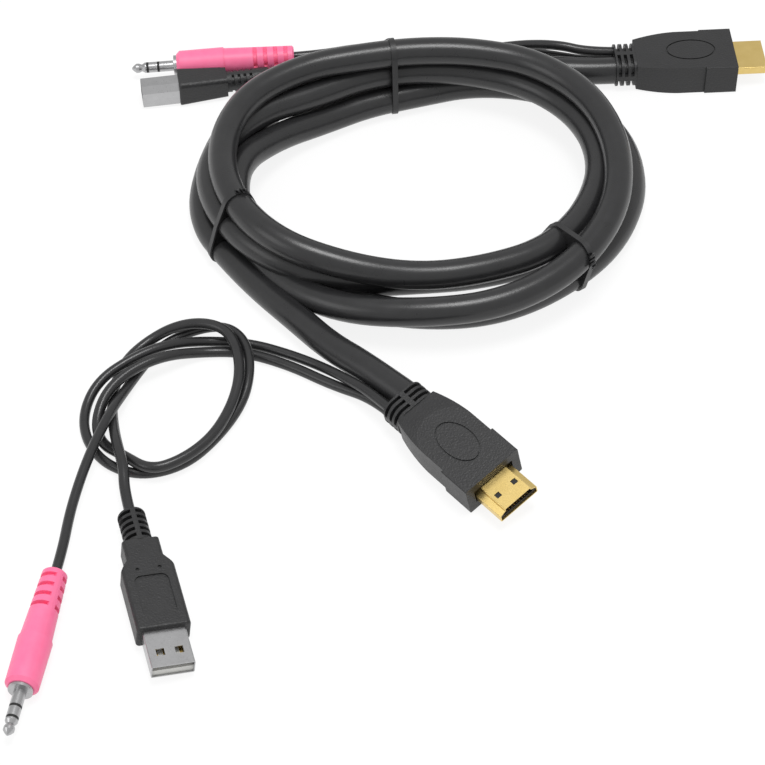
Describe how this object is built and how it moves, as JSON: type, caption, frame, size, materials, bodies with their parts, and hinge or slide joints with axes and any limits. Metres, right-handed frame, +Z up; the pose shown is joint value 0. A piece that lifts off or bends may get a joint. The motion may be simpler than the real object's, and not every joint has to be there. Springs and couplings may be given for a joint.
{
  "type": "kvm cable",
  "caption": "Coiled combination cable for a keyboard, video and mouse switch: a thick video lead with thin USB and audio leads splitting off at both plugs, tied for storage.",
  "frame": {"origin": "floor under the middle of the object's bounding box", "axes": "+Z up from the floor, +Y from the front plugs to the rear plugs, +X to the right"},
  "size_m": [0.2276, 0.2838, 0.0281],
  "materials": {
    "cable_jacket": "satin",
    "moulding_black": "fine matt",
    "moulding_pink": "satin",
    "plating_gold": "satin gold plating",
    "plating_nickel": "satin nickel plating",
    "contact_gold": "bright gold plating",
    "insulator_black": "matt",
    "insulator_white": "matt",
    "tie_plastic": "satin"
  },
  "bodies": {
    "root": {"hdmi_front_overmould": "moulding_black", "hdmi_front_shell": "plating_gold", "hdmi_front_contact_carrier": "insulator_black", "hdmi_front_contacts": "contact_gold", "hdmi_rear_overmould": "moulding_black", "hdmi_rear_shell": "plating_gold", "hdmi_rear_contact_carrier": "insulator_black", "hdmi_rear_contacts": "contact_gold", "usb_a_overmould": "moulding_black", "usb_a_shell": "plating_nickel", "usb_a_tongue": "insulator_white", "usb_a_contacts": "contact_gold", "usb_b_overmould": "moulding_black", "usb_b_shell": "plating_nickel", "usb_b_contact_carrier": "insulator_black", "usb_b_contacts": "contact_gold", "audio_front_overmould": "moulding_pink", "audio_front_sleeve": "plating_nickel", "audio_front_ring": "plating_nickel", "audio_front_tip": "plating_nickel", "audio_front_insulators": "insulator_black", "audio_rear_overmould": "moulding_pink", "audio_rear_sleeve": "plating_nickel", "audio_rear_ring": "plating_nickel", "audio_rear_tip": "plating_nickel", "audio_rear_insulators": "insulator_black", "main_cable_coil": "cable_jacket", "main_cable_front_tail": "cable_jacket", "main_cable_rear_tail": "cable_jacket", "usb_front_cord": "cable_jacket", "audio_front_cord": "cable_jacket", "usb_rear_cord": "cable_jacket", "audio_rear_cord": "cable_jacket", "tie_left": "tie_plastic", "tie_top": "tie_plastic", "tie_right": "tie_plastic"}
  },
  "joints": []
}
